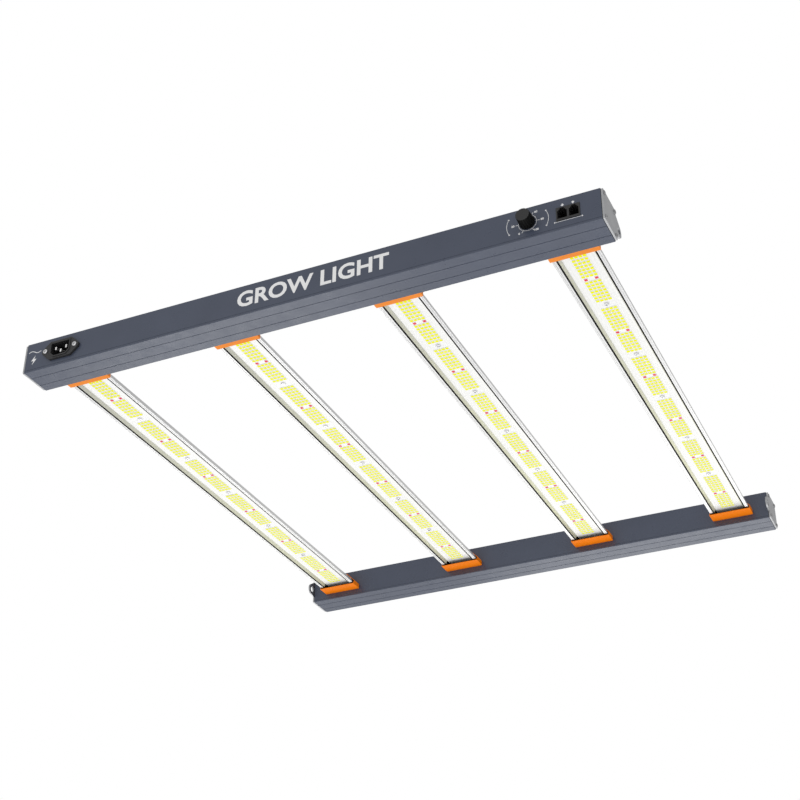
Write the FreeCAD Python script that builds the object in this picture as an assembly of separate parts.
"""LED grow light: four LED bars between a control rail and a far rail.

Millimetres, +Z up, LEDs facing down (-Z). The rails lie along X and the bars along Y.
The control rail is on the -Y side, and its outer face carries the inlet, dimmer and jacks.
The origin is the centre of the whole footprint, at the height of the rails' undersides.
"""
import FreeCAD, Part
import math
import os

V = FreeCAD.Vector
X_AXIS = V(1, 0, 0)
Y_AXIS = V(0, 1, 0)
Z_AXIS = V(0, 0, 1)

# ---------------------------------------------------------------- driving dimensions
FRAME_DEPTH = 758.0          # outer face of one rail to the outer face of the other
RAIL_LENGTH = 697.0
RAIL_WIDTH = 42.0            # along Y
RAIL_HEIGHT = 38.8
RAIL_WALL = 2.0
KNOB_REACH = 15.5            # front of the dimmer knob, out from the control rail's face
BAR_PITCH = 200.0
BAR_COUNT = 4

BAR_X = [BAR_PITCH * (i - (BAR_COUNT - 1) / 2) for i in range(BAR_COUNT)]
FACE_Y = (KNOB_REACH - FRAME_DEPTH) / 2          # outer face of the control rail
FAR_Y = FACE_Y + FRAME_DEPTH - RAIL_WIDTH        # inner face of the far rail
INNER_Y = FACE_Y + RAIL_WIDTH                    # inner face of the control rail
MID_Y = (INNER_Y + FAR_Y) / 2
HALF_RAIL = RAIL_LENGTH / 2

# rails
RAIL_CORNER_R = 0.6
GROOVE_OFFSETS = (13.4, 29.4)                    # decorative grooves, from the -Y face
GROOVE_WIDTH = 1.0
GROOVE_DEPTH = 0.3
SIDE_GROOVE_Z = 2.6
SIDE_GROOVE_WIDTH = 0.6
SIDE_GROOVE_DEPTH = 0.25
SCREW_BOSS_INSET = 4.3
SCREW_BOSS_R = 3.3
SCREW_CORE_R = 1.45
BOARD_Z = 9.4                                    # underside of the boards in the rail
BOARD_T = 1.6
BOARD_TOP = BOARD_Z + BOARD_T
RIB_REACH = 1.6
RIB_T = 1.2
RIB_PLAY = 0.1                                   # board slot's height beyond the board's
BOARD_MARGIN = 0.5

# end plates and hanging eyes
GASKET_T = 0.5
PLATE_T = 2.0
PLATE_INSET = 0.4
PLATE_CORNER_R = 1.6
EYE_OUT = 7.0                                    # hole centre, out from the rail's inner face
EYE_Z = 18.6
EYE_R = 8.2
EYE_HOLE_R = 4.25
EYE_TOP_Z = 32.5                                 # where the eye's edges meet the plate
EYE_LOW_Z = 8.5
EYE_ROOT = 3.0                                   # how far the eye's root laps the plate

# LED bars: heat sink, pad, board and LEDs, from the LED face upwards
LED_Z = 14.7
LED_T = 0.7
LED_BOARD_Z = LED_Z + LED_T
LED_BOARD_T = 1.6
LED_BOARD_HALF = 19.0
PAD_T = 0.3
PAD_HALF = 18.6
SINK_SEAT_Z = LED_BOARD_Z + LED_BOARD_T + PAD_T
SINK_BASE_TOP = SINK_SEAT_Z + 3.0
LIP_Z = 10.9
LIP_HALF = 26.6
LIP_INNER = 22.3
LIP_T = 2.7
LIP_EDGE = 0.4                                   # chamfer along the lip's outer edge
LIP_GROOVE_X = 24.4                              # fine groove along each lip
LIP_GROOVE_WIDTH = 0.5
LIP_GROOVE_DEPTH = 0.3
SLOPE_TOP_X = LED_BOARD_HALF - 1.0               # sloping wall beside the board, at the board
SLOPE_FOOT_X = 20.2                              # and at its foot
SLOPE_FOOT_Z = LIP_Z + 0.5
BOARD_PLAY = 0.1                                 # between the LED board and its slot
LENS_SLOT_X = 20.6                               # narrow slot beside each lip
LENS_SLOT_TOP = 13.9
SINK_SIDE_HALF = 24.8
SINK_SLOPE_Z = 16.8                              # foot of the sloping shoulder
SINK_TOP_HALF = 20.5
SINK_GAP = 7.5                                   # heat sink's end to the rail's face
BOARD_GAP = 9.0                                  # LED board's end to the rail's face
FIN_OFFSETS = (3.5, 7.0, 10.5, 14.0)
FIN_T = 1.4
FIN_TOP_Z = 26.0
SINK_TAP_R = 1.25                                # tapped holes for the board screws
SINK_TAP_DEPTH = 2.6

# LED layout: three equal modules of two segments, with red pairs in each segment
ROW_PITCH = 6.07
MODULE_ROWS = 35
MODULE_COUNT = 3
RED_ROWS = (0, 18)                               # in each module
SEGMENT_ROWS = (range(-7, 8), range(10, 26))
SCREW_ROWS = (8.5, 26.5)
ROW_ORIGIN = 43.5 + 0.5                          # the row that lies on the bar's middle
COLUMN_OFFSETS = (-7.0, -2.33, 2.33, 7.0)
RED_OFFSETS = (-6.0, 6.0)
LED_SIZE_X = 4.0
LED_SIZE_Y = 4.2

# brackets: sleeves with a flat lower lip and sloping shoulders
BRACKET_HALF = 27.9
BRACKET_LOW_Z = 9.1
BRACKET_LIP_T = 0.9
NEAR_LIP_REACH = 18.2                            # lower lips, out from the rails' faces
FAR_LIP_REACH = 20.5
BRACKET_HOOD_REACH = 17.0
BRACKET_WALL_Z = 15.5                            # top of the upright side walls
BRACKET_TOP_Z = 29.0
BRACKET_SHOULDER_HALF = BRACKET_HALF - (BRACKET_TOP_Z - BRACKET_WALL_Z)
SLEEVE_HALF = LIP_HALF + 0.2
SLEEVE_WALL_Z = 14.9
HOOD_CHAMFER = 1.5
HOOD_CORNER_R = 1.5
BRACKET_BACK = 3.0
BRACKET_CORNER_R = 2.0
LIP_CORNER_R = 0.8

# fasteners
M3_HEAD_R = 2.7
M3_HEAD_H = 1.6
M3_SHANK_R = 1.4
M3_HOLE_R = 1.7
END_SCREW_HEAD_R = 2.5
END_SCREW_HEAD_H = 1.2
END_SCREW_LENGTH = 12.0
BRACKET_SCREW_X = 20.0
BRACKET_SCREW_Z = 14.2
HOOD_SCREW_OUT = 12.0
LED_SCREW_HEAD_R = 2.9
LED_SCREW_HEAD_H = 1.7
LED_SCREW_SHANK_R = 1.2
LED_SCREW_LENGTH = 4.2
SHEET_HOLE_R = 1.6                               # screw holes in the LED boards and pads

# bar leads, their terminals, grommets and driver connectors
LEAD_Z = 14.2
LEAD_R = 0.9
LEAD_OFFSET = 1.3
GROMMET_R = 3.0
GROMMET_FLANGE_R = 3.8
GROMMET_FLANGE_T = 1.0
TERMINAL_OUT = 9.6                               # from the rail's inner face
TERMINAL_LENGTH = 7.0
TERMINAL_HALF = 5.0
TERMINAL_HEIGHT = 4.2
CONNECTOR_SIZE = 8.0                             # along the leads
CONNECTOR_HEIGHT = 6.0
CONNECTOR_Y = INNER_Y - 9.0                      # the face that the leads enter
CONNECTOR_HALF = 5.0

# driver board and its parts
DRIVER_X0 = -271.0
DRIVER_X1 = 246.0
CONTROL_X0 = DRIVER_X1 + 2.0
CONTROL_X1 = 338.0
BOARD_Y0 = FACE_Y + RAIL_WALL + BOARD_MARGIN
BOARD_Y1 = INNER_Y - RAIL_WALL - BOARD_MARGIN
CORE_Y = FACE_Y + 15.0                           # centre line of the tall driver parts
MAINS_HEIGHT = 14.0
MAINS_LENGTH = 9.0
TRANSFORMERS = ((-150, 28, 19, 17), (-60, 34, 20, 18), (20, 30, 19, 18))    # (x, length, width, height)
CAPACITOR_X = (-200, -115, 130, 168)
CAPACITOR_R = 8.0
CAPACITOR_LENGTH = 28.0
CHOKE_X = (-236, 68, 222)
CHOKE_R = 7.0
CHOKE_WINDING_R = 3.6
TRANSISTOR_X = (-80, -68, 58, 84, 96)
TRANSISTOR_WIDTH = 10.0
TRANSISTOR_T = 4.4
TRANSISTOR_LEG = 3.0
TRANSISTOR_TOP = 18.0
TRAY_WALL = 0.6
CHIPS = ((256, 8, 6, 1.6), (280, 5, 5, 1.4), (318, 8, 6, 1.6))    # (x, length, width, height)
CHIP_Y = FACE_Y + 26.0

# control panel, on the control rail's outer face
INLET_X = -299.2
INLET_Z = 19.9
INLET_SCREW_PITCH = 40.0
FLANGE_T = 3.0
FLANGE_HEIGHT = 23.6
FLANGE_FLAT = 29.0
FLANGE_TIP_R = 5.0
SOCKET_WIDTH = 24.6
SOCKET_HEIGHT = 16.6
SOCKET_WALL = 1.5
SOCKET_DEPTH = 17.0
SOCKET_RIM = 0.8
SOCKET_CORNER = 4.5                              # cut across each lower corner
INLET_REAR = 21.0
PIN_PITCH = 14.0
PIN_ROW_RISE = 2.0
EARTH_PIN_DROP = 4.0
PIN_WIDTH = 2.0
PIN_HEIGHT = 4.0
PIN_TIP_BACK = 2.2
INLET_SCREW_HEAD_R = 2.9
TAB_LENGTH = 5.0
INLET_LEAD_R = 1.1

KNOB_X = 270.3
KNOB_Z = 19.5
KNOB_BASE_R = 8.6
KNOB_FRONT_R = 7.5
KNOB_GAP = 0.6
FLUTE_COUNT = 18
FLUTE_R = 0.8
SHAFT_R = 3.0
SHAFT_CLEAR = 0.05
BUSHING_R = 3.5
POT_SIDE = 16.6
POT_DEPTH = 9.0

JACK_X = 313.7
JACK_WIDTH = 25.2
JACK_LOW_Z = BOARD_TOP + 0.1
JACK_HEIGHT = 16.4
JACK_PROUD = 0.8
JACK_DEPTH = 20.0
PORT_PITCH = 12.4
PORT_WIDTH = 10.2
PORT_HEIGHT = 9.6
PORT_DEPTH = 15.0
PORT_FLOOR = 2.5
LATCH_STEPS = ((7.4, 1.6), (4.6, 3.3))           # latch notch over a port: (width, height)
CONTACT_COUNT = 6
CONTACT_PITCH = 1.02
CONTACT_WIDTH = 0.4
CONTACT_RISE = 2.0

CUT_CLEAR = 0.15                                 # gap round a part in its window
OVERCUT = 0.1                                    # how far a cutter starts outside a blind hole


# ---------------------------------------------------------------- shape helpers
def box(x0, x1, y0, y1, z0, z1):
    """A box between two corners."""
    return Part.makeBox(x1 - x0, y1 - y0, z1 - z0, V(x0, y0, z0))


def rod(radius, length, base, axis):
    """A cylinder from a base point along an axis."""
    return Part.makeCylinder(radius, length, base, axis)


def prism_along_y(points, y0, y1):
    """Extrude a closed outline of (x, z) points along Y."""
    corners = [V(x, y0, z) for x, z in points]
    face = Part.Face(Part.makePolygon(corners + corners[:1]))
    return face.extrude(V(0, y1 - y0, 0))


def prism_along_x(points, x0, x1):
    """Extrude a closed outline of (y, z) points along X."""
    corners = [V(x0, y, z) for y, z in points]
    face = Part.Face(Part.makePolygon(corners + corners[:1]))
    return face.extrude(V(x1 - x0, 0, 0))


def fillet_edges_along(solid, axis, radius, wanted=None):
    """Round the straight edges parallel to an axis; wanted() may pick among them."""
    edges = []
    for edge in solid.Edges:
        run = edge.Vertexes[-1].Point - edge.Vertexes[0].Point
        straight = run.Length > 1e-6 and run.cross(axis).Length < 1e-6 * run.Length
        if straight and (wanted is None or wanted(edge.CenterOfMass)):
            edges.append(edge)
    return solid.makeFillet(radius, edges)


def fuse_all(solids):
    """One solid from several that touch."""
    return solids[0].multiFuse(solids[1:]).removeSplitter()


def group(solids):
    """Separate solids that share a node."""
    return Part.makeCompound(solids)


def mirrored_in_y(shape):
    """A copy mirrored in the plane halfway between the two rails."""
    return shape.mirror(V(0, MID_Y, 0), Y_AXIS)


def pan_screw(seat, inward, shank_length, head_r=M3_HEAD_R, head_h=M3_HEAD_H, shank_r=M3_SHANK_R):
    """A pan-head screw whose head sits on a seat point; inward points down the shank."""
    head = rod(head_r, head_h, seat - inward * head_h, inward)
    rim = head.Edges
    top = [edge for edge in rim if (edge.CenterOfMass - (seat - inward * head_h)).Length < 1e-6]
    head = head.makeFillet(head_h * 0.45, top)
    slot_w = head_r * 0.28
    slot_l = head_r * 1.1
    recess = []
    for turn in (0, 90):
        blade = Part.makeBox(slot_l, slot_w, head_h, V(-slot_l / 2, -slot_w / 2, -head_h / 2))
        blade.rotate(V(0, 0, 0), Z_AXIS, turn)
        recess.append(blade)
    cross = fuse_all(recess)
    cross.Placement = FreeCAD.Placement(seat - inward * head_h, FreeCAD.Rotation(Z_AXIS, inward))
    shank = rod(shank_r, shank_length, seat - inward * 0.1, inward)
    return head.cut(cross).fuse(shank).removeSplitter()


def wire_run(points, radius, bend):
    """A round wire along straight runs joined by tangent arcs."""
    edges = []
    start = points[0]
    for before, corner, after in zip(points, points[1:], points[2:]):
        to_before = (before - corner).normalize()
        to_after = (after - corner).normalize()
        enter = corner + to_before * bend
        leave = corner + to_after * bend
        half = math.radians(math.degrees(to_before.getAngle(to_after)) / 2)
        arc_radius = bend * math.tan(half)
        centre = corner + (to_before + to_after).normalize() * (bend / math.cos(half))
        middle = centre + (corner - centre).normalize() * arc_radius
        edges.append(Part.LineSegment(start, enter).toShape())
        edges.append(Part.Arc(enter, middle, leave).toShape())
        start = leave
    edges.append(Part.LineSegment(start, points[-1]).toShape())
    path = Part.Wire(edges)
    direction = (points[1] - points[0]).normalize()
    section = Part.Wire(Part.Circle(points[0], direction, radius).toShape())
    return path.makePipeShell([section], True, False)


# ---------------------------------------------------------------- rails
def rail_blank(y0):
    """The extruded rail: hollow box, screw bosses, board slots and fine grooves."""
    y1 = y0 + RAIL_WIDTH
    body = box(-HALF_RAIL, HALF_RAIL, y0, y1, 0, RAIL_HEIGHT)
    body = fillet_edges_along(body, X_AXIS, RAIL_CORNER_R)
    hollow = box(-HALF_RAIL, HALF_RAIL, y0 + RAIL_WALL, y1 - RAIL_WALL, RAIL_WALL, RAIL_HEIGHT - RAIL_WALL)
    body = body.cut(hollow)
    inside = []
    cores = []
    for y, z in boss_centres(y0):
        start = V(-HALF_RAIL, y, z)
        boss = rod(SCREW_BOSS_R, RAIL_LENGTH, start, X_AXIS)
        inside.append(boss.common(hollow))
        cores.append(rod(SCREW_CORE_R, RAIL_LENGTH, start, X_AXIS))
    for wall_y, side in ((y0 + RAIL_WALL, 1), (y1 - RAIL_WALL, -1)):
        lower_top = BOARD_Z - RIB_PLAY / 2
        upper_low = BOARD_TOP + RIB_PLAY
        for low in (lower_top - RIB_T, upper_low):
            near, far = sorted((wall_y - side * 0.2, wall_y + side * RIB_REACH))
            inside.append(box(-HALF_RAIL, HALF_RAIL, near, far, low, low + RIB_T))
    body = body.multiFuse(inside).removeSplitter()
    cuts = list(cores)
    for offset in GROOVE_OFFSETS:
        low = y0 + offset - GROOVE_WIDTH / 2
        for z0, z1 in ((-1, GROOVE_DEPTH), (RAIL_HEIGHT - GROOVE_DEPTH, RAIL_HEIGHT + 1)):
            cuts.append(box(-HALF_RAIL, HALF_RAIL, low, low + GROOVE_WIDTH, z0, z1))
    side_low = SIDE_GROOVE_Z - SIDE_GROOVE_WIDTH / 2
    side_high = SIDE_GROOVE_Z + SIDE_GROOVE_WIDTH / 2
    cuts.append(box(-HALF_RAIL, HALF_RAIL, y0 - 1, y0 + SIDE_GROOVE_DEPTH, side_low, side_high))
    return body.cut(cuts)


def boss_centres(y0):
    """The four end-screw positions of a rail, as (y, z)."""
    ys = (y0 + SCREW_BOSS_INSET, y0 + RAIL_WIDTH - SCREW_BOSS_INSET)
    zs = (SCREW_BOSS_INSET, RAIL_HEIGHT - SCREW_BOSS_INSET)
    return [(y, z) for y in ys for z in zs]


def bracket_wall_cuts(wall_y, with_lead):
    """Holes in a rail's inner wall, from wall_y towards +Y, for screws and bar leads."""
    cuts = []
    for x in BAR_X:
        for side in (-1, 1):
            base = V(x + side * BRACKET_SCREW_X, wall_y - 1, BRACKET_SCREW_Z)
            cuts.append(rod(SCREW_CORE_R, RAIL_WALL + RIB_REACH + 3, base, Y_AXIS))
        if with_lead:
            cuts.append(rod(GROMMET_R, RAIL_WALL + 3, V(x, wall_y - 2, LEAD_Z), Y_AXIS))
    return cuts


def control_rail():
    """The driver rail, with openings for the inlet, dimmer, jacks and bar leads."""
    rail = rail_blank(FACE_Y)
    inner_wall = FACE_Y + RAIL_WIDTH - RAIL_WALL
    cuts = bracket_wall_cuts(inner_wall, with_lead=True)
    deep = SCREW_BOSS_INSET + SCREW_BOSS_R + 0.9
    for x, z, width, height in control_windows():
        half_w = width / 2 + CUT_CLEAR
        half_h = height / 2 + CUT_CLEAR
        cuts.append(box(x - half_w, x + half_w, FACE_Y - 1, FACE_Y + deep, z - half_h, z + half_h))
    for side in (-1, 1):
        base = V(INLET_X + side * INLET_SCREW_PITCH / 2, FACE_Y - 1, INLET_Z)
        cuts.append(rod(SCREW_CORE_R, RAIL_WALL + 2, base, Y_AXIS))
    cuts.append(rod(BUSHING_R + 0.1, RAIL_WALL + 2, V(KNOB_X, FACE_Y - 1, KNOB_Z), Y_AXIS))
    half = POT_SIDE / 2 + CUT_CLEAR
    rib_y = FACE_Y + RAIL_WALL
    cuts.append(box(KNOB_X - half, KNOB_X + half, rib_y, rib_y + RIB_REACH + 1, BOARD_TOP, KNOB_Z))
    return rail.cut(cuts)


def control_windows():
    """Rectangular windows in the panel: (x, z, width, height)."""
    inlet_w = SOCKET_WIDTH + 2 * SOCKET_WALL
    inlet_h = SOCKET_HEIGHT + 2 * SOCKET_WALL
    jack_mid = JACK_LOW_Z + JACK_HEIGHT / 2
    return [(INLET_X, INLET_Z, inlet_w, inlet_h), (JACK_X, jack_mid, JACK_WIDTH, JACK_HEIGHT)]


def far_rail():
    """The second rail, from the same extrusion."""
    rail = rail_blank(FAR_Y)
    return rail.cut(bracket_wall_cuts(FAR_Y, with_lead=False))


# ---------------------------------------------------------------- end plates
def tangent_point(px, pz, cx, cz, radius, side):
    """Where a line from (px, pz) touches a circle; side picks the tangent."""
    dx = px - cx
    dz = pz - cz
    distance = math.hypot(dx, dz)
    angle = math.atan2(dz, dx) + side * math.acos(radius / distance)
    return cx + radius * math.cos(angle), cz + radius * math.sin(angle)


def plate_blank(x, y0, inner_side):
    """A plate's solid from x on: the rail's section plus an eye on the rail's inner side."""
    low = y0 + PLATE_INSET
    high = y0 + RAIL_WIDTH - PLATE_INSET
    plate = box(x, x + PLATE_T, low, high, PLATE_INSET, RAIL_HEIGHT - PLATE_INSET)
    plate = fillet_edges_along(plate, X_AXIS, PLATE_CORNER_R)
    face_y = y0 + RAIL_WIDTH if inner_side > 0 else y0
    eye_y = face_y + inner_side * EYE_OUT
    root_y = face_y - inner_side * EYE_ROOT
    upper = tangent_point(face_y, EYE_TOP_Z, eye_y, EYE_Z, EYE_R, -inner_side)
    lower = tangent_point(face_y, EYE_LOW_Z, eye_y, EYE_Z, EYE_R, inner_side)
    tip = V(x, eye_y + inner_side * EYE_R, EYE_Z)
    corner_high = V(x, face_y, EYE_TOP_Z)
    corner_low = V(x, face_y, EYE_LOW_Z)
    root_high = V(x, root_y, EYE_TOP_Z)
    root_low = V(x, root_y, EYE_LOW_Z)
    enter = V(x, *upper)
    leave = V(x, *lower)
    edges = [
        Part.LineSegment(root_high, corner_high).toShape(),
        Part.LineSegment(corner_high, enter).toShape(),
        Part.Arc(enter, tip, leave).toShape(),
        Part.LineSegment(leave, corner_low).toShape(),
        Part.LineSegment(corner_low, root_low).toShape(),
        Part.LineSegment(root_low, root_high).toShape(),
    ]
    eye = Part.Face(Part.Wire(edges)).extrude(V(PLATE_T, 0, 0))
    return plate.fuse(eye).removeSplitter(), eye_y


def end_plate(y0, inner_side, end):
    """A bare metal end plate; end is -1 at the left and +1 at the right."""
    x_inner = end * (HALF_RAIL + GASKET_T)
    x0 = min(x_inner, x_inner + end * PLATE_T)
    blank, eye_y = plate_blank(x0, y0, inner_side)
    cuts = [rod(EYE_HOLE_R, PLATE_T + 2, V(x0 - 1, eye_y, EYE_Z), X_AXIS)]
    for y, z in boss_centres(y0):
        cuts.append(rod(M3_HOLE_R, PLATE_T + 2, V(x0 - 1, y, z), X_AXIS))
    return blank.cut(cuts)


def end_gasket(y0, end):
    """A soft ring between a rail's end and its plate."""
    x0 = end * HALF_RAIL if end > 0 else -HALF_RAIL - GASKET_T
    x1 = x0 + GASKET_T
    low = y0 + 2 * PLATE_INSET
    high = y0 + RAIL_WIDTH - 2 * PLATE_INSET
    ring = box(x0, x1, low, high, 2 * PLATE_INSET, RAIL_HEIGHT - 2 * PLATE_INSET)
    window = box(x0, x1, y0 + RAIL_WALL, y0 + RAIL_WIDTH - RAIL_WALL, RAIL_WALL, RAIL_HEIGHT - RAIL_WALL)
    pads = [rod(SCREW_BOSS_R, GASKET_T, V(x0, y, z), X_AXIS) for y, z in boss_centres(y0)]
    holes = [rod(M3_HOLE_R, GASKET_T, V(x0, y, z), X_AXIS) for y, z in boss_centres(y0)]
    return ring.cut(window).multiFuse(pads).removeSplitter().cut(holes)


def end_screws():
    """Sixteen pan-head screws, four to a plate."""
    screws = []
    for y0 in (FACE_Y, FAR_Y):
        for end in (-1, 1):
            seat_x = end * (HALF_RAIL + GASKET_T + PLATE_T)
            for y, z in boss_centres(y0):
                seat = V(seat_x, y, z)
                inward = V(-end, 0, 0)
                screws.append(pan_screw(seat, inward, END_SCREW_LENGTH, END_SCREW_HEAD_R, END_SCREW_HEAD_H))
    return group(screws)


# ---------------------------------------------------------------- LED bars
def sink_outline():
    """The heat sink's section in (x, z), right half then its mirror.

    From the board's slot: the sloping wall, the narrow slot, the grooved lip, and the outside.
    """
    slot_z = LED_BOARD_Z - BOARD_PLAY
    slot_x = LED_BOARD_HALF + BOARD_PLAY
    groove_low = LIP_GROOVE_X - LIP_GROOVE_WIDTH / 2
    groove_high = LIP_GROOVE_X + LIP_GROOVE_WIDTH / 2
    groove_top = LIP_Z + LIP_GROOVE_DEPTH
    lip_top = LIP_Z + LIP_T
    right = [
        (slot_x, SINK_SEAT_Z), (slot_x, slot_z), (SLOPE_TOP_X, slot_z),
        (SLOPE_FOOT_X, SLOPE_FOOT_Z), (LENS_SLOT_X, SLOPE_FOOT_Z), (LENS_SLOT_X, LENS_SLOT_TOP),
        (LIP_INNER, LENS_SLOT_TOP), (LIP_INNER, LIP_Z),
        (groove_low, LIP_Z), (groove_low, groove_top), (groove_high, groove_top), (groove_high, LIP_Z),
        (LIP_HALF - LIP_EDGE, LIP_Z), (LIP_HALF, LIP_Z + LIP_EDGE),
        (LIP_HALF, lip_top - LIP_EDGE), (LIP_HALF - LIP_EDGE, lip_top),
        (SINK_SIDE_HALF, lip_top), (SINK_SIDE_HALF, SINK_SLOPE_Z), (SINK_TOP_HALF, SINK_BASE_TOP),
    ]
    for offset in reversed(FIN_OFFSETS):
        outer = offset + FIN_T / 2
        inner = offset - FIN_T / 2
        right += [(outer, SINK_BASE_TOP), (outer, FIN_TOP_Z), (inner, FIN_TOP_Z), (inner, SINK_BASE_TOP)]
    left = [(-x, z) for x, z in reversed(right)]
    return right + left


def row_y(row):
    """The Y position of an LED row or a board screw."""
    return MID_Y + (row - ROW_ORIGIN) * ROW_PITCH


def led_rows():
    """Rows of four white LEDs, and rows of two red ones, as two lists of Y positions."""
    white = []
    red = []
    for module in range(MODULE_COUNT):
        start = module * MODULE_ROWS
        red += [row_y(start + row) for row in RED_ROWS]
        for segment in SEGMENT_ROWS:
            white += [row_y(start + row) for row in segment if row not in RED_ROWS]
    return white, red


def board_screw_positions():
    """Y positions of a bar's board screws: one after each segment but the last."""
    rows = [module * MODULE_ROWS + row for module in range(MODULE_COUNT) for row in SCREW_ROWS]
    return [row_y(row) for row in rows[:-1]]


def heat_sink(x):
    """One extruded heat sink with tapped holes for its board and its brackets."""
    outline = [(x + dx, z) for dx, z in sink_outline()]
    y0 = INNER_Y + SINK_GAP
    y1 = FAR_Y - SINK_GAP
    sink = prism_along_y(outline, y0, y1)
    cuts = []
    for y in board_screw_positions():
        cuts.append(rod(SINK_TAP_R, SINK_TAP_DEPTH, V(x, y, SINK_SEAT_Z - OVERCUT), Z_AXIS))
    tap_foot = SINK_BASE_TOP - SINK_TAP_DEPTH + OVERCUT
    for y in hood_screw_ys():
        cuts.append(rod(SCREW_CORE_R, SINK_TAP_DEPTH, V(x, y, tap_foot), Z_AXIS))
    return sink.cut(cuts)


def hood_screw_ys():
    """Y positions of the screws that hold a bar in its two brackets."""
    return (INNER_Y + HOOD_SCREW_OUT, FAR_Y - HOOD_SCREW_OUT)


def bar_sheet(x, half_width, z0, thickness):
    """A board or pad of a bar, with its screw holes."""
    y0 = INNER_Y + BOARD_GAP
    y1 = FAR_Y - BOARD_GAP
    sheet = box(x - half_width, x + half_width, y0, y1, z0, z0 + thickness)
    holes = [rod(SHEET_HOLE_R, thickness + 1, V(x, y, z0 - 0.5), Z_AXIS) for y in board_screw_positions()]
    return sheet.cut(holes)


def led_package(x, y):
    """One surface-mount LED: a small block on the board's lower face."""
    x0 = x - LED_SIZE_X / 2
    y0 = y - LED_SIZE_Y / 2
    return box(x0, x0 + LED_SIZE_X, y0, y0 + LED_SIZE_Y, LED_Z, LED_BOARD_Z)


def white_leds(x):
    """All white LEDs of one bar."""
    rows, _ = led_rows()
    return group([led_package(x + dx, y) for y in rows for dx in COLUMN_OFFSETS])


def red_leds(x):
    """All deep-red LEDs of one bar."""
    _, rows = led_rows()
    return group([led_package(x + dx, y) for y in rows for dx in RED_OFFSETS])


def board_screws():
    """The screws that hold the LED boards up against their heat sinks."""
    screws = []
    for x in BAR_X:
        for y in board_screw_positions():
            seat = V(x, y, LED_BOARD_Z)
            screws.append(pan_screw(
                seat, Z_AXIS, LED_SCREW_LENGTH, LED_SCREW_HEAD_R, LED_SCREW_HEAD_H, LED_SCREW_SHANK_R))
    return group(screws)


# ---------------------------------------------------------------- brackets
def near_bracket(x, reach):
    """A moulded sleeve on the control rail's inner face; reach is its lower lip's."""
    face = INNER_Y
    low = BRACKET_LOW_Z
    top = BRACKET_TOP_Z
    lip = face + reach
    hood = face + BRACKET_HOOD_REACH
    right = [(BRACKET_HALF, low), (BRACKET_HALF, BRACKET_WALL_Z), (BRACKET_SHOULDER_HALF, top)]
    front = [(x + dx, z) for dx, z in with_mirror(right)]
    side = [
        (face, low), (lip, low), (lip, low + BRACKET_LIP_T), (hood, BRACKET_WALL_Z),
        (hood, top - HOOD_CHAMFER), (hood - HOOD_CHAMFER, top), (face, top),
    ]
    block = prism_along_y(front, face, lip)
    block = fillet_edges_along(block, Y_AXIS, HOOD_CORNER_R, lambda c: c.z > top - 0.1)
    block = fillet_edges_along(block, Z_AXIS, BRACKET_CORNER_R, lambda c: abs(c.y - face) < 0.01)
    block = fillet_edges_along(block, Z_AXIS, LIP_CORNER_R, lambda c: abs(c.y - lip) < 0.01)
    body = block.common(prism_along_x(side, x - BRACKET_HALF, x + BRACKET_HALF))
    sleeve = [(x + dx, z) for dx, z in sleeve_outline()]
    cuts = [prism_along_y(sleeve, face + BRACKET_BACK, lip + 1)]
    cuts.append(rod(M3_HOLE_R, 5, V(x, face + HOOD_SCREW_OUT, top - 4), Z_AXIS))
    cuts.append(rod(GROMMET_FLANGE_R + 0.2, BRACKET_BACK + 2, V(x, face - 1, LEAD_Z), Y_AXIS))
    for direction in (-1, 1):
        base = V(x + direction * BRACKET_SCREW_X, face - 1, BRACKET_SCREW_Z)
        cuts.append(rod(M3_HOLE_R, BRACKET_BACK + 2, base, Y_AXIS))
    return body.cut(cuts)


def with_mirror(right):
    """A closed outline from its right half, listed from the bottom up."""
    return right + [(-x, z) for x, z in reversed(right)]


def sleeve_outline():
    """The sleeve's inner section in (x, z): clear of the sink's sides, touching the fins' tops."""
    low = BRACKET_LOW_Z + BRACKET_LIP_T
    slope_x = SLEEVE_HALF - (FIN_TOP_Z - SLEEVE_WALL_Z)
    return with_mirror([(SLEEVE_HALF, low), (SLEEVE_HALF, SLEEVE_WALL_Z), (slope_x, FIN_TOP_Z)])


def bracket_rail_screws():
    """Screws inside the sleeves, through the brackets into the rails' inner walls."""
    screws = []
    for x in BAR_X:
        for side in (-1, 1):
            seat = V(x + side * BRACKET_SCREW_X, INNER_Y + BRACKET_BACK, BRACKET_SCREW_Z)
            near = pan_screw(seat, V(0, -1, 0), BRACKET_BACK + RAIL_WALL + 2)
            screws += [near, mirrored_in_y(near)]
    return group(screws)


def bracket_bar_screws():
    """Screws through the brackets' hoods into the heat sinks."""
    screws = []
    reach = BRACKET_TOP_Z - SINK_BASE_TOP + 2.3
    for x in BAR_X:
        for y in hood_screw_ys():
            screws.append(pan_screw(V(x, y, BRACKET_TOP_Z), V(0, 0, -1), reach))
    return group(screws)


def lead_grommets():
    """Rubber grommets where the bar leads pass into the control rail."""
    grommets = []
    for x in BAR_X:
        outer = rod(GROMMET_R, RAIL_WALL, V(x, INNER_Y - RAIL_WALL, LEAD_Z), Y_AXIS)
        flange = rod(GROMMET_FLANGE_R, GROMMET_FLANGE_T, V(x, INNER_Y, LEAD_Z), Y_AXIS)
        ring = outer.fuse(flange).removeSplitter()
        bores = []
        for side in (-1, 1):
            base = V(x + side * LEAD_OFFSET, INNER_Y - 5, LEAD_Z)
            bores.append(rod(LEAD_R, 10, base, Y_AXIS))
        grommets.append(ring.cut(bores))
    return group(grommets)


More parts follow.
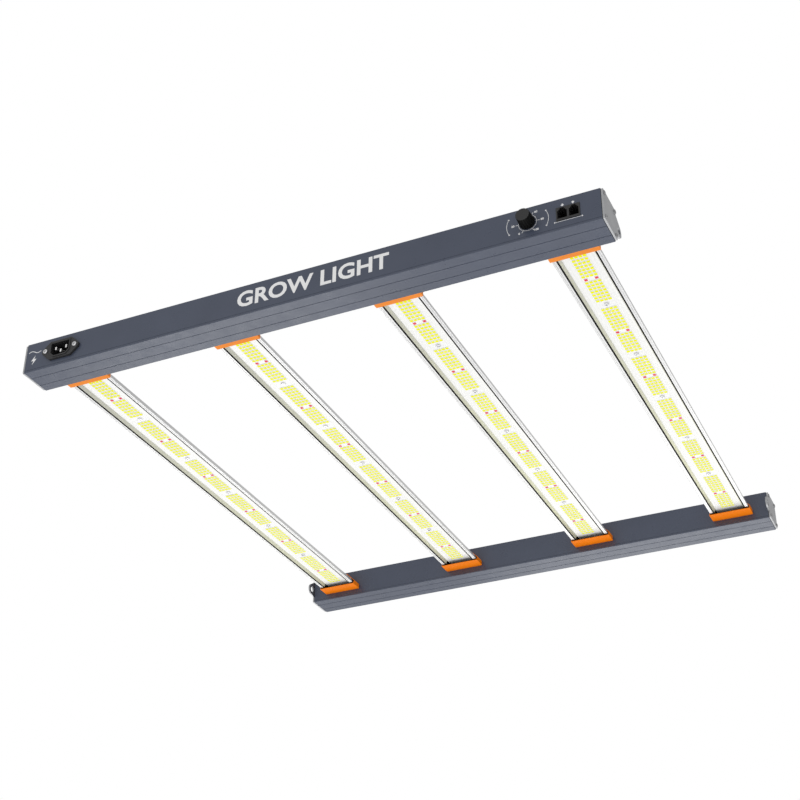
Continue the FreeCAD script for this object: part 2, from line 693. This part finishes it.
def bar_terminals():
    """Push-in terminals on the LED boards, hidden by the brackets' lower lips."""
    blocks = []
    y0 = INNER_Y + TERMINAL_OUT
    for x in BAR_X:
        low = LED_BOARD_Z - TERMINAL_HEIGHT
        blocks.append(box(x - TERMINAL_HALF, x + TERMINAL_HALF, y0, y0 + TERMINAL_LENGTH, low, LED_BOARD_Z))
    return group(blocks)


def bar_leads():
    """Two short insulated leads for each bar, from its terminal to its driver connector.

    The first bar's leads turn along the rail, because the inlet stands across from them.
    """
    leads = []
    start_y = INNER_Y + TERMINAL_OUT
    for x in BAR_X[1:]:
        for side in (-1, 1):
            base = V(x + side * LEAD_OFFSET, CONNECTOR_Y, LEAD_Z)
            leads.append(rod(LEAD_R, start_y - CONNECTOR_Y, base, Y_AXIS))
    for side in (-1, 1):
        x = BAR_X[0] + side * LEAD_OFFSET
        y = first_connector_y() + side * LEAD_OFFSET
        points = [V(x, start_y, LEAD_Z), V(x, y, LEAD_Z), V(DRIVER_X0 + 1, y, LEAD_Z)]
        leads.append(wire_run(points, LEAD_R, 2.4))
    return group(leads)


def first_connector_y():
    """The centre line, along X, of the connector for the first bar's leads."""
    return INNER_Y - RAIL_WALL - RIB_REACH - 3.6


# ---------------------------------------------------------------- driver inside the rail
def driver_board():
    """The power-supply board, held in the rail's slots."""
    return box(DRIVER_X0, DRIVER_X1, BOARD_Y0, BOARD_Y1, BOARD_Z, BOARD_TOP)


def driver_connectors():
    """The mains terminal and one output connector for each bar."""
    low = BOARD_TOP
    high = BOARD_TOP + CONNECTOR_HEIGHT
    blocks = []
    for x in BAR_X[1:]:
        y0 = CONNECTOR_Y - CONNECTOR_SIZE
        blocks.append(box(x - CONNECTOR_HALF, x + CONNECTOR_HALF, y0, CONNECTOR_Y, low, high))
    x0 = DRIVER_X0 + 1
    y = first_connector_y()
    blocks.append(box(x0, x0 + CONNECTOR_SIZE, y - 3.4, y + 3.4, low, high))
    blocks.append(box(x0, x0 + MAINS_LENGTH, CORE_Y - 9, CORE_Y + 6, low, low + MAINS_HEIGHT))
    return group(blocks)


def wound_core(x, length, width, height):
    """A ferrite core with a winding round its middle leg."""
    half = width / 2
    top = BOARD_TOP + height
    core = box(x, x + length, CORE_Y - half, CORE_Y + half, BOARD_TOP, top)
    window = 0.22 * length
    windows = []
    for x0 in (x + 0.14 * length, x + 0.64 * length):
        windows.append(box(x0, x0 + window, CORE_Y - half - 1, CORE_Y + half + 1, BOARD_TOP + 3, top - 3))
    winding_x0 = x + 0.18 * length
    winding_x1 = x + 0.82 * length
    winding = box(winding_x0, winding_x1, CORE_Y - half - 2, CORE_Y + half + 2, BOARD_TOP + 4, top - 4)
    winding = fillet_edges_along(winding, Z_AXIS, 3.0)
    return core.cut(windows).fuse(winding).removeSplitter()


def driver_transformers():
    """The power-factor inductor, then the main and the output transformers."""
    return group([wound_core(*place) for place in TRANSFORMERS])


def driver_capacitors():
    """Electrolytic capacitors lying along the board."""
    cans = []
    z = BOARD_TOP + CAPACITOR_R + 0.2
    for x in CAPACITOR_X:
        can = rod(CAPACITOR_R, CAPACITOR_LENGTH, V(x, CORE_Y, z), X_AXIS)
        crimp = Part.makeTorus(CAPACITOR_R + 0.4, 0.9, V(x + 4, CORE_Y, z), X_AXIS)
        cans.append(can.cut(crimp))
    return group(cans)


def driver_chokes():
    """Toroidal mains-filter and output chokes, standing on the board."""
    z = BOARD_TOP + CHOKE_R + CHOKE_WINDING_R + 0.1
    return group([Part.makeTorus(CHOKE_R, CHOKE_WINDING_R, V(x, CORE_Y, z), X_AXIS) for x in CHOKE_X])


def power_transistors():
    """Flat power transistors standing beside the outer wall."""
    parts = []
    half = TRANSISTOR_WIDTH / 2
    y0 = FACE_Y + RAIL_WALL + RIB_REACH + 0.3
    body_low = BOARD_TOP + TRANSISTOR_LEG
    body_high = BOARD_TOP + TRANSISTOR_TOP
    for x in TRANSISTOR_X:
        body = box(x - half, x + half, y0, y0 + TRANSISTOR_T, body_low, body_high)
        legs = []
        for leg_x in (x - half / 2, x, x + half / 2):
            legs.append(box(leg_x - 0.4, leg_x + 0.4, y0 + 2, y0 + 2.6, BOARD_TOP, body_low + OVERCUT))
        tab_hole = rod(M3_HOLE_R, 2 * TRANSISTOR_T, V(x, y0 - 1, body_high - 3.5), Y_AXIS)
        parts.append(body.multiFuse(legs).removeSplitter().cut(tab_hole))
    return group(parts)


def insulating_tray():
    """A thin plastic trough between the driver board and the rail's floor."""
    low = RAIL_WALL
    y0 = FACE_Y + 2 * SCREW_BOSS_INSET
    y1 = INNER_Y - 2 * SCREW_BOSS_INSET
    tray = box(DRIVER_X0, DRIVER_X1, y0, y1, low, BOARD_Z - TRAY_WALL)
    pocket = box(DRIVER_X0, DRIVER_X1, y0 + TRAY_WALL, y1 - TRAY_WALL, low + TRAY_WALL, BOARD_Z)
    return tray.cut(pocket)


# ---------------------------------------------------------------- mains inlet
def flange_outline():
    """The inlet flange: a flat-topped hexagon with rounded ends, as a face at y = FACE_Y."""
    half_flat = FLANGE_FLAT / 2
    half_high = FLANGE_HEIGHT / 2
    reach = INLET_SCREW_PITCH / 2
    edges = []
    right_up = tangent_point(half_flat, half_high, reach, 0, FLANGE_TIP_R, -1)
    right_down = (right_up[0], -right_up[1])

    def at(x, z):
        return V(INLET_X + x, FACE_Y, INLET_Z + z)

    for side in (1, -1):
        top = at(side * half_flat, half_high)
        low = at(side * half_flat, -half_high)
        enter = at(side * right_up[0], right_up[1])
        leave = at(side * right_down[0], right_down[1])
        tip = at(side * (reach + FLANGE_TIP_R), 0)
        edges.append(Part.LineSegment(top, enter).toShape())
        edges.append(Part.Arc(enter, tip, leave).toShape())
        edges.append(Part.LineSegment(leave, low).toShape())
    edges.append(Part.LineSegment(at(-half_flat, half_high), at(half_flat, half_high)).toShape())
    edges.append(Part.LineSegment(at(-half_flat, -half_high), at(half_flat, -half_high)).toShape())
    return Part.Face(Part.Wire(Part.sortEdges(edges)[0]))


def socket_outline(grow):
    """The socket's outline in (x, z): a rectangle with its two lower corners cut."""
    half_w = SOCKET_WIDTH / 2 + grow
    half_h = SOCKET_HEIGHT / 2 + grow
    cut = SOCKET_CORNER + 0.4 * grow
    points = [
        (-half_w, half_h), (half_w, half_h), (half_w, -half_h + cut),
        (half_w - cut, -half_h), (-half_w + cut, -half_h), (-half_w, -half_h + cut),
    ]
    return [(INLET_X + x, INLET_Z + z) for x, z in points]


def inlet_body():
    """The black moulded inlet: flange, raised socket rim, socket and rear housing."""
    flange = flange_outline().extrude(V(0, -FLANGE_T, 0))
    front = FACE_Y - FLANGE_T - SOCKET_RIM
    shell = prism_along_y(socket_outline(SOCKET_WALL), front, FACE_Y + INLET_REAR)
    body = fuse_all([flange, shell])
    cuts = [prism_along_y(socket_outline(0), front - 1, front + SOCKET_DEPTH)]
    for side in (-1, 1):
        base = V(INLET_X + side * INLET_SCREW_PITCH / 2, FACE_Y - FLANGE_T - 1, INLET_Z)
        cuts.append(rod(M3_HOLE_R, FLANGE_T + 2, base, Y_AXIS))
    cuts += pin_blocks(front, FACE_Y + INLET_REAR + 1)
    return body.cut(cuts)


def pin_places():
    """The three pins' centres: line, neutral and the earth pin below them."""
    upper = INLET_Z + PIN_ROW_RISE
    half = PIN_PITCH / 2
    return [(INLET_X - half, upper), (INLET_X + half, upper), (INLET_X, upper - EARTH_PIN_DROP)]


def pin_blocks(y0, y1):
    """Three flat blades at the pins' places."""
    half_w = PIN_WIDTH / 2
    half_h = PIN_HEIGHT / 2
    return [box(x - half_w, x + half_w, y0, y1, z - half_h, z + half_h) for x, z in pin_places()]


def inlet_pins():
    """Three flat pins that run from the socket to solder tabs behind the housing."""
    tip = FACE_Y - FLANGE_T - SOCKET_RIM + PIN_TIP_BACK
    back = FACE_Y + INLET_REAR + TAB_LENGTH
    return group(pin_blocks(tip, back))


def inlet_screws():
    """Two pan-head screws through the inlet's flange."""
    screws = []
    for side in (-1, 1):
        seat = V(INLET_X + side * INLET_SCREW_PITCH / 2, FACE_Y - FLANGE_T, INLET_Z)
        screws.append(pan_screw(seat, Y_AXIS, FLANGE_T + RAIL_WALL + 1.5, INLET_SCREW_HEAD_R))
    return group(screws)


def inlet_leads():
    """Three leads from the inlet's tabs to the driver board's mains terminal.

    Line runs outside neutral, and earth runs on a lower level between them.
    """
    tab_y = FACE_Y + INLET_REAR + TAB_LENGTH
    back_ys = (tab_y + 7.5, tab_y + 4.5, tab_y + 6.0)
    turn_xs = (DRIVER_X0 - 3.5, DRIVER_X0 - 7.0, DRIVER_X0 - 5.2)
    entry_ys = (CORE_Y + 3.0, CORE_Y - 6.0, CORE_Y - 1.5)
    leads = []
    for (x, z), back_y, turn_x, entry_y in zip(pin_places(), back_ys, turn_xs, entry_ys):
        points = [V(x, tab_y, z), V(x, back_y, z), V(turn_x, back_y, z)]
        points += [V(turn_x, entry_y, z), V(DRIVER_X0 + 1, entry_y, z)]
        leads.append(wire_run(points, INLET_LEAD_R, 2.2))
    return group(leads)


# ---------------------------------------------------------------- dimmer
def knob():
    """The fluted, slightly tapered knob, with a recess over the panel nut."""
    base_y = FACE_Y - KNOB_GAP
    length = KNOB_REACH - KNOB_GAP
    toward = V(0, -1, 0)
    base = V(KNOB_X, base_y, KNOB_Z)
    body = Part.makeCone(KNOB_BASE_R, KNOB_FRONT_R, length, base, toward)
    front = [edge for edge in body.Edges if abs(edge.CenterOfMass.y - (base_y - length)) < 0.01]
    body = body.makeFillet(0.6, [edge for edge in front if edge.Closed])
    cuts = []
    slope = (KNOB_BASE_R - KNOB_FRONT_R) / length
    for i in range(FLUTE_COUNT):
        angle = 2 * math.pi * i / FLUTE_COUNT
        out = V(math.cos(angle), 0, math.sin(angle))
        start = base + out * (KNOB_BASE_R + FLUTE_R * 0.45) - toward * 1.0
        direction = (toward - out * slope).normalize()
        cuts.append(rod(FLUTE_R, length + 2, start, direction))
    cuts.append(rod(6.6, 3.4, base, toward))
    cuts.append(rod(SHAFT_R, length - 2.5, base, toward))
    return body.cut(cuts)


def dimmer_shaft():
    """The potentiometer's shaft, from the knob's bore to the wiper."""
    front = FACE_Y - KNOB_REACH + 3.5
    back = FACE_Y + RAIL_WALL + 6.0
    return rod(SHAFT_R, back - front, V(KNOB_X, front, KNOB_Z), Y_AXIS)


def dimmer_wiper():
    """The wiper disc on the shaft's inner end, inside the potentiometer."""
    y0 = FACE_Y + RAIL_WALL + 6.0
    disc = rod(6.0, 1.2, V(KNOB_X, y0, KNOB_Z), Y_AXIS)
    pointer = box(KNOB_X - 0.8, KNOB_X + 0.8, y0, y0 + 1.2, KNOB_Z, KNOB_Z + 6.6)
    return disc.fuse(pointer).removeSplitter()


def dimmer_body():
    """The potentiometer: square can with a threaded bushing through the panel."""
    y0 = FACE_Y + RAIL_WALL
    half = POT_SIDE / 2
    can = box(KNOB_X - half, KNOB_X + half, y0, y0 + POT_DEPTH, KNOB_Z - half, KNOB_Z + half)
    can = fillet_edges_along(can, Y_AXIS, 1.5)
    bushing = rod(BUSHING_R, RAIL_WALL + 3.2, V(KNOB_X, FACE_Y - 3.2, KNOB_Z), Y_AXIS)
    body = fuse_all([can, bushing])
    bore = rod(SHAFT_R + SHAFT_CLEAR, 12, V(KNOB_X, FACE_Y - 4, KNOB_Z), Y_AXIS)
    chamber = rod(7.2, 2.4, V(KNOB_X, y0 + 5.4, KNOB_Z), Y_AXIS)
    return body.cut([bore, chamber])


def dimmer_nut():
    """The hexagonal panel nut and its washer, under the knob."""
    radius = 5.6
    points = []
    for i in range(6):
        angle = math.radians(60 * i)
        points.append((KNOB_X + radius * math.cos(angle), KNOB_Z + radius * math.sin(angle)))
    nut = prism_along_y(points, FACE_Y - 2.6, FACE_Y - 0.6)
    washer = rod(6.0, 0.6, V(KNOB_X, FACE_Y - 0.6, KNOB_Z), Y_AXIS)
    both = fuse_all([nut, washer])
    return both.cut(rod(BUSHING_R, 6, V(KNOB_X, FACE_Y - 4, KNOB_Z), Y_AXIS))


# ---------------------------------------------------------------- control jacks
def port_centres():
    """X positions of the two ports."""
    return (JACK_X - PORT_PITCH / 2, JACK_X + PORT_PITCH / 2)


def jack_housing():
    """A black twin housing for two modular plugs, latch side up."""
    left = JACK_X - JACK_WIDTH / 2
    front = FACE_Y - JACK_PROUD
    block = box(left, left + JACK_WIDTH, front, FACE_Y + JACK_DEPTH, JACK_LOW_Z, JACK_LOW_Z + JACK_HEIGHT)
    cuts = []
    port_low = JACK_LOW_Z + PORT_FLOOR
    port_high = port_low + PORT_HEIGHT
    back = front + PORT_DEPTH
    for x in port_centres():
        half = PORT_WIDTH / 2
        cuts.append(box(x - half, x + half, front - 1, back, port_low, port_high))
        for width, height in LATCH_STEPS:
            half = width / 2
            cuts.append(box(x - half, x + half, front - 1, back, port_high - 1, port_high + height))
    return block.cut(cuts)


def jack_contacts():
    """Spring contacts rising from the floor of each port."""
    contacts = []
    floor = JACK_LOW_Z + PORT_FLOOR
    y0 = FACE_Y - JACK_PROUD + 4.0
    y1 = FACE_Y - JACK_PROUD + PORT_DEPTH
    high = floor + CONTACT_RISE
    profile = [(y0, floor), (y1, high), (y1, high - CONTACT_WIDTH), (y0 + 1.6, floor)]
    for x in port_centres():
        for i in range(CONTACT_COUNT):
            low = x + (i - (CONTACT_COUNT - 1) / 2) * CONTACT_PITCH - CONTACT_WIDTH / 2
            contacts.append(prism_along_x(profile, low, low + CONTACT_WIDTH))
    return group(contacts)


def control_board():
    """The dimming board that carries the potentiometer and the jacks."""
    return box(CONTROL_X0, CONTROL_X1, BOARD_Y0, BOARD_Y1, BOARD_Z, BOARD_TOP)


def control_chips():
    """A few surface-mount chips on the control board."""
    chips = []
    for x, length, width, height in CHIPS:
        chips.append(box(x, x + length, CHIP_Y, CHIP_Y + width, BOARD_TOP, BOARD_TOP + height))
    return group(chips)


def ribbon_cable():
    """A short flat jumper between the driver board and the control board."""
    y0 = FACE_Y + 27
    jumper = box(DRIVER_X1 - 4, DRIVER_X1 + 6, y0, y0 + 7, BOARD_TOP, BOARD_TOP + 2.4)
    arch = box(DRIVER_X1 - 2, DRIVER_X1 + 4, y0 - 1, y0 + 8, BOARD_TOP - 1, BOARD_TOP + 1.6)
    return jumper.cut(arch)


# ---------------------------------------------------------------- all nodes
def all_nodes():
    """Every named piece of the light."""
    nodes = {
        "control_rail": control_rail(),
        "far_rail": far_rail(),
        "end_plate_control_left": end_plate(FACE_Y, 1, -1),
        "end_plate_control_right": end_plate(FACE_Y, 1, 1),
        "end_plate_far_left": end_plate(FAR_Y, -1, -1),
        "end_plate_far_right": end_plate(FAR_Y, -1, 1),
        "end_gaskets": group([end_gasket(y0, end) for y0 in (FACE_Y, FAR_Y) for end in (-1, 1)]),
        "end_plate_screws": end_screws(),
        "board_screws": board_screws(),
        "thermal_pads": group([bar_sheet(x, PAD_HALF, SINK_SEAT_Z - PAD_T, PAD_T) for x in BAR_X]),
        "bracket_rail_screws": bracket_rail_screws(),
        "bracket_bar_screws": bracket_bar_screws(),
        "lead_grommets": lead_grommets(),
        "bar_terminals": bar_terminals(),
        "bar_leads": bar_leads(),
        "driver_board": driver_board(),
        "driver_connectors": driver_connectors(),
        "driver_transformers": driver_transformers(),
        "driver_capacitors": driver_capacitors(),
        "driver_chokes": driver_chokes(),
        "power_transistors": power_transistors(),
        "insulating_tray": insulating_tray(),
        "inlet_body": inlet_body(),
        "inlet_pins": inlet_pins(),
        "inlet_screws": inlet_screws(),
        "inlet_leads": inlet_leads(),
        "dimmer_knob": knob(),
        "dimmer_shaft": dimmer_shaft(),
        "dimmer_wiper": dimmer_wiper(),
        "dimmer_body": dimmer_body(),
        "dimmer_nut": dimmer_nut(),
        "jack_housing": jack_housing(),
        "jack_contacts": jack_contacts(),
        "control_board": control_board(),
        "control_chips": control_chips(),
        "ribbon_cable": ribbon_cable(),
    }
    for number, x in enumerate(BAR_X, start=1):
        nodes[f"heat_sink_{number}"] = heat_sink(x)
        nodes[f"led_board_{number}"] = bar_sheet(x, LED_BOARD_HALF, LED_BOARD_Z, LED_BOARD_T)
        nodes[f"white_leds_{number}"] = white_leds(x)
        nodes[f"red_leds_{number}"] = red_leds(x)
        nodes[f"control_bracket_{number}"] = near_bracket(x, NEAR_LIP_REACH)
        nodes[f"far_bracket_{number}"] = mirrored_in_y(near_bracket(x, FAR_LIP_REACH))
    return nodes


os.makedirs("parts", exist_ok=True)
for name, shape in all_nodes().items():
    shape.exportStep(f"parts/{name}.step")
    bounds = shape.BoundBox
    print(f"{name}: {len(shape.Solids)} solids, volume {shape.Volume:.0f} mm3, valid {shape.isValid()},",
          f"z {bounds.ZMin:.1f}..{bounds.ZMax:.1f}")
